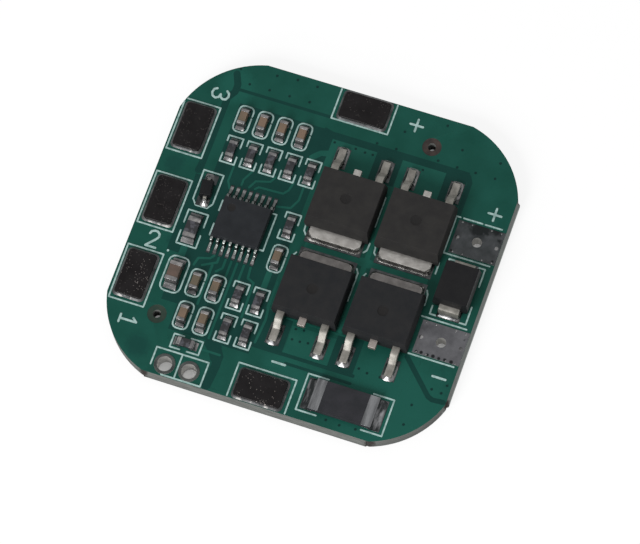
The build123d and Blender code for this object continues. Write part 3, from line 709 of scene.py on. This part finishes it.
# painted shade: dark dots where the tented vias dip, standing in for the shade inside them
viaDimpleShadeArt = {
    "height": 1.618,
    "thickness": 0.008,
    "dots": tuple((x, y, 0.13) for x, y in (
        (-11.8, 14.6), (-9.7, 14.6), (-7.6, 14.6), (-5.5, 14.6), (-13.2, 15.9), (-9.5, 16.3), (-7.4, 16.5),
        (-5.3, 16.4), (-1.7, 11.3), (0.5, 11.3), (1.5, 11.2), (2.3, 11.2), (7.5, 11.2), (4.5, 14.5),
        (8.3, 16.4), (10.5, 14.4), (2.3, 12.5), (4.3, 12.5), (8.6, 12.6), (10.6, 12.5), (12.5, 12.5),
        (14.5, 12.5), (14.5, 14.2), (1.2, -9.4), (2.0, -9.4), (2.8, -9.3), (1.2, -8.3), (2.0, -8.2),
        (8.3, -10.2), (9.2, -10.4), (10.5, -10.4), (16.9, -9.2), (16.6, -10.1), (15.6, -10.0),
        (14.3, -12.1), (14.2, -14.2), (7.0, -16.1), (8.4, -16.2), (10.0, -16.1),
    )),
}
drawArt("copperGaps", paints["gap"], **gapArt)
drawArt("copperTraces", paints["trace"], **traceArt)
drawArt("copperBetween", paints["paintedSheenPour"], **paintedSheenArt)
drawArt("viaSmudges", paints["viaDimpleShade"], **viaDimpleShadeArt)
print("copper drawn")


def roundOutline(x, y, halfWidth, halfLength, cornerRound, gap=()):
    # an outline with round corners, open between two heights on its right side
    corners = ((1, -1, 0), (-1, -1, -90), (-1, 1, -180), (1, 1, -270))
    points = [(x + halfWidth, y + gap[0])] if gap else []
    for sideX, sideY, start in corners:
        for step in (0, 30, 60, 90):
            angle = math.radians(start - step)
            points.append((x + sideX * (halfWidth - cornerRound) + cornerRound * math.cos(angle),
                           y + sideY * (halfLength - cornerRound) + cornerRound * math.sin(angle)))
    points.append((x + halfWidth, y + gap[1]) if gap else points[0])
    return points


inkArt = {
    "height": 1.629,
    "thickness": 0.03,
    "line": 0.16,
    "signLine": 0.22,
    "capacitors": ((-11.1, 10.85), (-9.05, 10.85), (-7.0, 10.85), (-4.95, 10.85), (-9.65, -6.85),
                   (-7.6, -6.85), (-9.65, -10.35), (-7.6, -10.35), (-2.95, -2.0)),
    "resistors": ((-11.1, 7.4), (-9.05, 7.4), (-7.0, 7.4), (-4.95, 7.4), (-2.9, 7.4), (-5.3, -6.85),
                  (-3.2, -6.85), (-5.3, -10.35), (-3.2, -10.35), (-2.95, 1.5)),
    "capsule": {"halfWidth": 0.74, "halfLength": 1.42, "cornerRound": 0.48, "gap": (0.25, 0.5)},
    "largeCapsule": {"x": -11.925, "y": -6.62, "halfWidth": 1.03, "halfLength": 1.88, "cornerRound": 0.62},
    "brackets": (((-0.75, 0.85), (-0.75, 1.43), (0.75, 1.43), (0.75, 0.4)),
                 ((-0.75, -0.55), (-0.75, -1.43), (0.75, -1.43), (0.75, -0.6))),
    "boxes": (
        ((-17.1, 11.28), (-13.65, 11.28), (-13.65, 5.63), (-17.35, 5.63), (-17.35, 10.9)),
        ((-17.35, 3.08), (-13.65, 3.08), (-13.65, -2.57), (-17.35, -2.57), (-17.35, 3.08)),
        ((-17.35, -5.02), (-13.65, -5.02), (-13.65, -10.77), (-17.25, -10.77), (-17.35, -5.02)),
        ((-2.9, 16.95), (-2.9, 13.68), (2.95, 13.68), (2.95, 16.95)),
        ((-2.85, -16.72), (-2.85, -13.2), (3.05, -13.2), (3.05, -16.72)),
        ((12.6, 7.63), (12.2, 7.63), (12.2, 3.63), (16.9, 3.63)),
        ((12.95, 7.63), (14.85, 7.63)), ((15.15, 7.63), (16.85, 7.63)),
        ((12.3, -3.22), (16.85, -3.22)), ((12.3, -7.22), (16.9, -7.22)),
        ((-10.95, -16.0), (-10.95, -14.17), (-5.6, -14.17), (-5.6, -16.72), (-9.6, -16.72)),
        ((-8.3, -14.17), (-8.3, -16.72)),
        ((-4.9, 2.3), (-4.55, 2.3), (-4.55, -1.67), (-4.9, -1.67)),
        ((-10.1, 2.1), (-10.1, 1.0)), ((-10.1, -0.45), (-10.1, -1.7)),
    ),
    "others": (
        ((5.0, 7.3), (5.0, 4.1)),
        ((-1.5, 2.3), (-1.45, 1.6), (-1.15, 1.2)), ((5.1, 2.3), (5.05, 1.5), (4.8, 1.2)),
        ((5.7, 2.4), (5.8, 1.5), (6.0, 1.3)), ((12.15, 2.5), (12.15, 1.3)),
        ((4.75, -0.6), (5.0, -1.0), (5.0, -4.0)), ((5.6, -1.1), (5.75, -0.8)),
        ((11.95, -0.6), (12.15, -1.0), (12.2, -2.1)), ((-1.6, -1.1), (-1.4, -0.8)),
        ((-12.95, -1.2), (-12.95, 0.18), (-10.9, 0.18), (-10.9, -1.2)),
        ((-12.95, -2.1), (-12.95, -3.47), (-10.9, -3.47), (-10.9, -2.1)),
        ((-12.95, 4.58), (-10.9, 4.58), (-10.9, 1.4), (-11.3, 0.83), (-12.5, 0.83), (-12.95, 1.4),
         (-12.95, 4.58)),
        ((-8.8, -12.37), (-9.8, -12.37), (-9.8, -13.77), (-8.8, -13.77)),
        ((-8.05, -12.37), (-6.85, -12.37), (-6.85, -13.77), (-8.05, -13.77)),
        ((12.95, 2.2), (12.95, 3.18), (16.6, 3.18), (16.6, 1.3)),
        ((12.95, -1.9), (12.95, -2.77), (16.6, -2.77), (16.6, -0.9)),
        ((5.95, -12.17), (3.9, -12.17), (3.9, -15.97), (5.95, -15.97)),
        ((10.5, -12.17), (12.6, -12.17), (12.6, -15.97), (10.5, -15.97)),
    ),
    "plus": (((-0.65, 0), (0.65, 0)), ((0, -0.65), (0, 0.65))),
    "minus": (((-0.65, 0), (0.65, 0)),),
    "one": (((-0.35, 0.45), (0, 0.85), (0, -0.85)), ((-0.4, -0.85), (0.4, -0.85))),
    "two": (((-0.5, 0.45), (-0.4, 0.72), (-0.1, 0.85), (0.2, 0.83), (0.45, 0.62), (0.48, 0.35), (0.3, 0.05),
             (-0.52, -0.85), (0.52, -0.85)),),
    "three": (((-0.5, 0.55), (-0.3, 0.8), (0.05, 0.86), (0.38, 0.7), (0.45, 0.4), (0.3, 0.13), (0.0, 0.03),
               (0.35, -0.08), (0.5, -0.4), (0.36, -0.72), (0.0, -0.87), (-0.36, -0.76), (-0.52, -0.5)),),
    "signs": (("plus", 5.4, 15.5, 0), ("plus", 15.7, 8.9, 0), ("minus", 15.9, -8.7, 0),
              ("minus", 0.8, -12.1, 0), ("three", -14.2, 12.7, -90), ("two", -15.2, -3.8, 0),
              ("one", -14.6, -12.5, -90)),
    "dots": ((-13.4, -4.5, 0.12),),
}


def inkStrokes():
    lines = list(inkArt["boxes"] + inkArt["others"])
    lines.append(roundOutline(**inkArt["largeCapsule"]))
    lines += [roundOutline(x, y, **inkArt["capsule"]) for x, y in inkArt["capacitors"]]
    for x, y in inkArt["resistors"]:
        lines += [[(x + u, y + v) for u, v in line] for line in inkArt["brackets"]]
    strokes = [(inkArt["line"], line) for line in lines]
    for signName, x, y, turn in inkArt["signs"]:
        across, along = math.cos(math.radians(turn)), math.sin(math.radians(turn))
        for line in inkArt[signName]:
            turned = [(x + u * across - v * along, y + u * along + v * across) for u, v in line]
            strokes.append((inkArt["signLine"], turned))
    return strokes


drawArt("ink", paints["ink"], inkArt["height"], inkArt["thickness"], inkStrokes(), inkArt["dots"])
print("ink drawn")


# dressed copies of the CAD parts

# part, paints of the upper and lower row, how far its edges are softened, slot and the bevel's steps
transistorLooks = (
    ("body", {"upper": "moulding", "lower": "lowerMoulding"}, 0.07, "moulding", 3),
    ("tab", {"upper": "tab", "lower": "lowerTab"}, 0.05, "lead_frame", 3),
    ("leads", {"upper": "lead", "lower": "lead"}, 0.05, "lead_frame", 3),
)
for row in ("upper", "lower"):
    for column in ("left", "right"):
        for part, rowPaints, *look in transistorLooks:
            pieceName = row + column.title() + part.title()
            softCopy([f"transistor_{row}_{column}_{part}"], pieceName, paints[rowPaints[row]], *look)

# nodes, piece, paint, how far its edges are softened, slot, and the bevel's steps where they aren't 2
partLooks = (
    (["controller_body"], "controllerBody", "chip", 0.05, "chip_moulding", 3),
    (["controller_leads"], "controllerLeads", "fineLead", 0.02, "lead_frame"),
    (["output_diode_body"], "outputDiodeBody", "diode", 0.07, "diode_moulding", 3),
    (["output_diode_leads"], "outputDiodeLeads", "lead", 0.03, "lead_frame"),
    (["signal_diode_body"], "signalDiodeBody", "diode", 0.04, "diode_moulding", 3),
    (["signal_diode_leads"], "signalDiodeLeads", "lead", 0.015, "lead_frame"),
    (["shunt_body"], "shuntBody", "shunt", 0.03, "shunt_ceramic"),
    (["shunt_ends"], "shuntEnds", "shuntEnd", 0.04, "end_metal", 3),
    (["capacitor_large"], "largeCapacitor", "largeCapacitor", 0.03, "capacitor_ceramic"),
    ([f"capacitor_{i}" for i in range(1, 10)], "smallCapacitors", "capacitor", 0.03, "capacitor_ceramic"),
    (["capacitor_ends"], "capacitorEnds", "end", 0.03, "end_metal"),
    (["resistor_large"], "largeResistor", "resistor", 0.015, "resistor_ceramic"),
    ([f"resistor_{i}" for i in range(1, 12)], "smallResistors", "resistor", 0.015, "resistor_ceramic"),
    (["resistor_ends"], "resistorEnds", "end", 0.012, "end_metal"),
    (["cell_plate_1", "cell_plate_2", "cell_plate_3", "pack_plate_plus", "pack_plate_minus"],
     "contactPlates", "plate", 0.05, "nickel_plate"),
    (["output_land_plus", "output_land_minus"], "outputLands", "outputLand", 0, "tinned_land"),
    (["thermistor_eyelet_left", "thermistor_eyelet_right"], "thermistorEyelets", "eyelet", 0.015,
     "tinned_land"),
    (["power_lands", "signal_lands"], "smallLands", "land", 0.012, "tinned_land"),
)
for nodeNames, pieceName, paintName, *look in partLooks:
    softCopy(nodeNames, pieceName, paints[paintName], *look)
print("CAD parts dressed")


# solder

landTop = 1.65
skirtLook = {
    "sink": 0.01,                  # how far a foot goes into its land
    "topSlope": 0.9,               # a face whose normal points up by more is the top
    "ringShares": (0.25, 0.5, 0.75),
    "ringReach": 0.0005,           # a point nearer than this to a ring belongs to it
    "cornerSteps": 4,
    "stillShare": 0.05,            # of the height, kept free of lumps
    "lumpNormal": 0.6,             # share of a lump that goes straight out
    "smoothAngle": 60,
}


def solderSkirt(foot, crown, top, cornerRound, lumps, seed):
    # a hollow-sided heap from its foot to its crown, each middle x, middle y, width and length
    clearPick()
    low = landTop - skirtLook["sink"]
    tall = top - low
    centre = (foot[0] * mm, foot[1] * mm, (low + top) / 2 * mm)
    bpy.ops.mesh.primitive_cube_add(size=tall * mm, location=centre)
    skirt = bpy.context.object
    bpy.ops.object.transform_apply(location=True, rotation=True, scale=True)
    bpy.ops.object.mode_set(mode="EDIT")
    bpy.ops.transform.resize(value=(foot[2] / tall, foot[3] / tall, 1), center_override=centre)
    pickParts(skirt, "FACE", lambda face: face.normal.z > skirtLook["topSlope"])
    bpy.ops.transform.resize(value=(crown[2] / foot[2], crown[3] / foot[3], 1),
                             center_override=(foot[0] * mm, foot[1] * mm, top * mm))
    bpy.ops.transform.translate(value=((crown[0] - foot[0]) * mm, (crown[1] - foot[1]) * mm, 0))
    pickParts(skirt, "EDGE", lambda edge: abs(edge.verts[0].co.z - edge.verts[1].co.z) > tall * mm / 2)
    bpy.ops.mesh.bevel(offset=cornerRound * mm, segments=skirtLook["cornerSteps"], affect="EDGES")
    # rings between foot and crown are drawn in towards the crown
    for share in skirtLook["ringShares"]:
        level = (low + tall * share) * mm
        bpy.ops.mesh.select_all(action="SELECT")
        bpy.ops.mesh.bisect(plane_co=(0, 0, level), plane_no=(0, 0, 1))
        pickParts(skirt, "VERT", lambda vert: abs(vert.co.z - level) < skirtLook["ringReach"] * mm)
        straight = [c + (f - c) * (1 - share) for f, c in zip(foot, crown)]
        hollow = [c + (f - c) * (1 - share) ** 2 for f, c in zip(foot, crown)]
        bpy.ops.transform.resize(value=(hollow[2] / straight[2], hollow[3] / straight[3], 1),
                                 center_override=(straight[0] * mm, straight[1] * mm, level))
        bpy.ops.transform.translate(
            value=((hollow[0] - straight[0]) * mm, (hollow[1] - straight[1]) * mm, 0))
    pickParts(skirt, "VERT", lambda vert: vert.co.z > (low + skirtLook["stillShare"] * tall) * mm)
    bpy.ops.transform.vertex_random(offset=lumps * mm, uniform=0.0, normal=skirtLook["lumpNormal"], seed=seed)
    bpy.ops.mesh.select_all(action="SELECT")
    bpy.ops.mesh.normals_make_consistent(inside=False)
    bpy.ops.object.mode_set(mode="OBJECT")
    return skirt


def finishSolder(piece, name, paintName, nodeNames=()):
    finishPiece(piece, name, paints[paintName], nodeNames, skirtLook["smoothAngle"])


plateSolder = {
    "upright": ((-15.5, 8.5), (-15.5, 0.3), (-15.5, -7.85)),
    "flat": ((0.05, 15.4), (0.05, -15.15)),
    "seeds": (0, 1, 2, 5, 6),
    "plate": (2.9, 4.8),
    "rim": 0.2,
    "play": 0.02,
    "heap": {"top": 1.87, "cornerRound": 0.4, "lumps": 0.02},
}


def makePlateSolder():
    wide, long = plateSolder["plate"]
    rim, play = plateSolder["rim"], plateSolder["play"]
    plates = [(x, y, wide, long) for x, y in plateSolder["upright"]]
    plates += [(x, y, long, wide) for x, y in plateSolder["flat"]]
    skirts = []
    for (x, y, across, along), seed in zip(plates, plateSolder["seeds"]):
        foot = (x, y, across + 2 * rim, along + 2 * rim)
        crown = (x, y, across + play, along + play)
        skirts.append(solderSkirt(foot, crown, seed=seed, **plateSolder["heap"]))
    finishSolder(joinPieces(skirts), "plateSolder", "rimSolder", ["plate_solder"])


# places along the packages are given from each one's own tab end or middle
powerSolder = {
    "upper": ((1.75, 1.0), (8.95, 1.0)),
    "lower": ((1.75, -0.5), (8.95, -0.5)),
    "leadPitch": 4.57,
    "tab": {"foot": (0.0, 0.39, 5.6, 1.28), "crown": (0.0, 0.52, 5.32, 0.98), "top": 1.95,
            "cornerRound": 0.42, "lumps": 0.006, "seed": 3},
    "lead": {"foot": (0.0, 9.12, 1.3, 1.92), "crown": (0.0, 9.02, 0.8, 1.42), "top": 2.0,
             "cornerRound": 0.36, "lumps": 0.006, "seed": 3},
    "diodePlace": (14.75, 0.2),
    "diode": {"foot": (0.0, 2.66, 2.35, 0.66), "crown": (0.0, 2.6, 2.05, 0.3), "top": 1.95,
              "cornerRound": 0.14, "lumps": 0.01, "seed": 4},
    "shuntPlace": (8.2, -14.095),
    "shunt": {"foot": (3.45, 0.0, 1.1, 3.2), "crown": (3.12, 0.0, 0.12, 3.1), "top": 2.08,
              "cornerRound": 0.3, "lumps": 0.006, "seed": 4},
    "outputs": ((14.955, 5.6), (14.955, -5.25)),
    "via": {"radius": 0.2, "height": 0.03, "segments": 14, "rings": 8, "pitch": (1.0, 1.6), "fine": 0.45},
}


def makeVias():
    # filled holes round each wire hole: two full ones beside it, finer ones in rows
    via = powerSolder["via"]
    middle = (0, 0, landTop * mm)
    clearPick()
    bpy.ops.mesh.primitive_uv_sphere_add(segments=via["segments"], ring_count=via["rings"],
                                         radius=via["radius"] * mm, location=middle)
    dome = bpy.context.object
    bpy.ops.object.transform_apply(location=True, rotation=True, scale=True)
    bpy.ops.object.mode_set(mode="EDIT")
    bpy.ops.mesh.select_all(action="SELECT")
    bpy.ops.transform.resize(value=(1, 1, via["height"] / via["radius"]), center_override=middle)
    bpy.ops.object.mode_set(mode="OBJECT")
    fineDome = dome.copy()
    fineDome.data = dome.data.copy()
    bpy.context.collection.objects.link(fineDome)
    fineDome.scale = (via["fine"], via["fine"], 1)
    pickOnly(fineDome)
    bpy.ops.object.transform_apply(location=True, rotation=True, scale=True)
    wide, high = via["pitch"]
    full = [(x + side * 2 * wide, y, 0) for x, y in powerSolder["outputs"] for side in (-1, 1)]
    fine = [(x + column * wide, y + row * high, 0)
            for x, y in powerSolder["outputs"] for column in (-2, -1, 1, 2) for row in (-1, 1)]
    return [joinPlaced(dome, full), joinPlaced(fineDome, fine)]


def makePowerSolder():
    turned = [(x, y, 0) for x, y in powerSolder["upper"]] + [(x, y, 180) for x, y in powerSolder["lower"]]
    finishSolder(joinPlaced(solderSkirt(**powerSolder["tab"]), turned), "tabSolder", "tabSolder")
    half = powerSolder["leadPitch"] / 2
    leads = [(x + side * half, y, turn) for x, y, turn in turned for side in (-1, 1)]
    groups = [joinPlaced(solderSkirt(**powerSolder["lead"]), leads)]
    groups.append(joinPlaced(solderSkirt(**powerSolder["diode"]), turnedPairs([powerSolder["diodePlace"]])))
    shunt = joinPlaced(solderSkirt(**powerSolder["shunt"]), turnedPairs([powerSolder["shuntPlace"]]))
    finishSolder(shunt, "shuntSolder", "shuntJoint")
    finishSolder(joinPieces(groups + makeVias()), "powerSolder", "solder", ["power_solder"])


smallHeap = {"foot": (0.0, 1.02, 0.9, 0.42), "crown": (0.0, 0.83, 0.78, 0.08), "cornerRound": 0.03,
             "lumps": 0.02, "seed": 7}
controller = {"x": -7.4, "y": 0.2, "pitch": 0.65, "perSide": 8}
controllerSteps = [(number - (controller["perSide"] - 1) / 2) * controller["pitch"]
                   for number in range(controller["perSide"])]
signalSolder = {
    "capacitors": (turnedPairs(inkArt["capacitors"]), {**smallHeap, "top": 2.15}),
    "resistors": (turnedPairs(inkArt["resistors"]) + turnedPairs([(-8.4, -13.05)], 90),
                  {**smallHeap, "top": 1.97}),
    "largeParts": (turnedPairs([(-11.93, -6.62), (-11.93, -1.65)]),
                   {"foot": (0.0, 1.3, 1.35, 0.62), "crown": (0.0, 1.03, 1.2, 0.1), "top": 2.15,
                    "cornerRound": 0.04, "lumps": 0.02, "seed": 7}),
    "signalDiode": (turnedPairs([(-11.93, 2.6)], 8),
                    {"foot": (0.0, 1.38, 0.84, 0.8), "crown": (0.0, 1.2, 0.42, 0.4), "top": 1.92,
                     "cornerRound": 0.2, "lumps": 0.015, "seed": 2}),
    "controller": (turnedPairs([(controller["x"] + step, controller["y"]) for step in controllerSteps]),
                   {"foot": (0.0, 3.1, 0.34, 0.95), "crown": (0.0, 2.95, 0.24, 0.5), "top": 1.76,
                    "cornerRound": 0.04, "lumps": 0.008, "seed": 2}),
}


def makeSignalSolder():
    groups = [joinPlaced(solderSkirt(**heap), places) for places, heap in signalSolder.values()]
    finishSolder(joinPieces(groups), "signalSolder", "solder", ["signal_solder"])


makePlateSolder()
makePowerSolder()
makeSignalSolder()
print("solder run")


# studio

# places and sizes in metres, the lens and its sensor in millimetres, turns in degrees
studio = {
    "floorSize": 1.4,
    "floorDepth": 0.00002,
    "floorTone": (0.85, 0.85, 0.85, 1.0),
    "floorRoughness": 0.9,
    "floorGlow": 0.8,       # share of the floor's look that is plain white
    "glowStrength": 1.05,
    "underBoard": (0.0168, 0.0163),
    "underCorners": 0.0285,
    "underShare": 0.18,     # of the glow, left under the board
    "white": (1, 1, 1, 1),
    "worldGrey": 0.5,
    "worldWhite": 1.0,
    "lamps": (              # name, place, width, height and watts
        ("keyLamp", (-0.12, -0.42, 0.3), 0.24, 0.2, 2.0),
        ("topLamp", (0.12, 0.12, 0.48), 0.3, 0.3, 0.2),
        ("stripLamp", (-0.08, -0.46, 0.15), 0.2, 0.04, 0.4),
    ),
    "cameraPlace": (0.05895, -0.10902, 0.31636),
    "cameraTurn": (20.8425, 3.3887, 19.4213),
    "lens": 195.66,
    "sensor": 36.0,
    "clipStart": 0.005,
}


def addSurroundings(tree):
    # 1 for what the camera, a reflection or glass sees of the surroundings
    path = addNode(tree, "LightPath", {})
    seen = addMath(tree, "MAXIMUM", path["Is Camera Ray"], path["Is Glossy Ray"])
    return addMath(tree, "MAXIMUM", seen, path["Is Transmission Ray"])


def makeFloor():
    clearPick()
    bpy.ops.mesh.primitive_plane_add(size=studio["floorSize"], location=(0, 0, -studio["floorDepth"]))
    floor = bpy.context.object
    floor.name = "studioFloor"
    material = bpy.data.materials.new("floorFinish")
    material.use_nodes = True
    tree = material.node_tree
    shader = tree.nodes["Principled BSDF"]
    shader.inputs["Base Color"].default_value = studio["floorTone"]
    shader.inputs["Roughness"].default_value = studio["floorRoughness"]
    shader.inputs["Specular IOR Level"].default_value = 0.0
    glow = addNode(tree, "Emission", {"Strength": studio["glowStrength"]})[0]
    # less glow under the board, so that its holes look shaded
    split = addSplit(tree, addNode(tree, "TexCoord", {})["Object"])
    away = [addMath(tree, "ABSOLUTE", split[axis]) for axis in "XY"]
    away.append(addMath(tree, "ADD", away[0], away[1]))
    outside = studio["underShare"]
    for distance, reach in zip(away, (*studio["underBoard"], studio["underCorners"])):
        outside = addMath(tree, "MAXIMUM", addMath(tree, "GREATER_THAN", distance, reach), outside)
    share = addMath(tree, "MULTIPLY", addSurroundings(tree), studio["floorGlow"])
    mask = addMath(tree, "MULTIPLY", share, outside)
    blend = addNode(tree, "MixShader", {0: mask, 1: shader.outputs[0], 2: glow})[0]
    feed(tree, tree.nodes["Material Output"].inputs["Surface"], blend)
    floor.data.materials.append(material)


def makeWorld():
    world = bpy.data.worlds.new("studioWorld")
    bpy.context.scene.world = world
    world.use_nodes = True
    tree = world.node_tree
    grey = tree.nodes["Background"]
    grey.inputs["Color"].default_value = studio["white"]
    grey.inputs["Strength"].default_value = studio["worldGrey"]
    white = addNode(tree, "Background", {"Color": studio["white"], "Strength": studio["worldWhite"]})[0]
    blend = addNode(tree, "MixShader", {0: addSurroundings(tree), 1: grey.outputs[0], 2: white})[0]
    feed(tree, tree.nodes["World Output"].inputs["Surface"], blend)


def makeLamps():
    for lampName, place, wide, high, watts in studio["lamps"]:
        bpy.ops.object.light_add(type="AREA", location=place)
        lamp = bpy.context.object
        lamp.name = lampName
        lamp.rotation_euler = (-Vector(place)).to_track_quat("-Z", "Y").to_euler()
        lamp.data.shape = "RECTANGLE"
        lamp.data.size = wide
        lamp.data.size_y = high
        lamp.data.energy = watts


def makeCamera():
    bpy.ops.object.camera_add(location=studio["cameraPlace"],
                              rotation=[math.radians(turn) for turn in studio["cameraTurn"]])
    camera = bpy.context.object
    camera.name = "photoCamera"
    camera.data.lens = studio["lens"]
    camera.data.sensor_width = studio["sensor"]
    camera.data.sensor_fit = "HORIZONTAL"
    camera.data.clip_start = studio["clipStart"]
    bpy.context.scene.camera = camera
    bpy.context.scene.view_settings.view_transform = "Standard"


makeFloor()
makeWorld()
makeLamps()
makeCamera()
print("studio set")
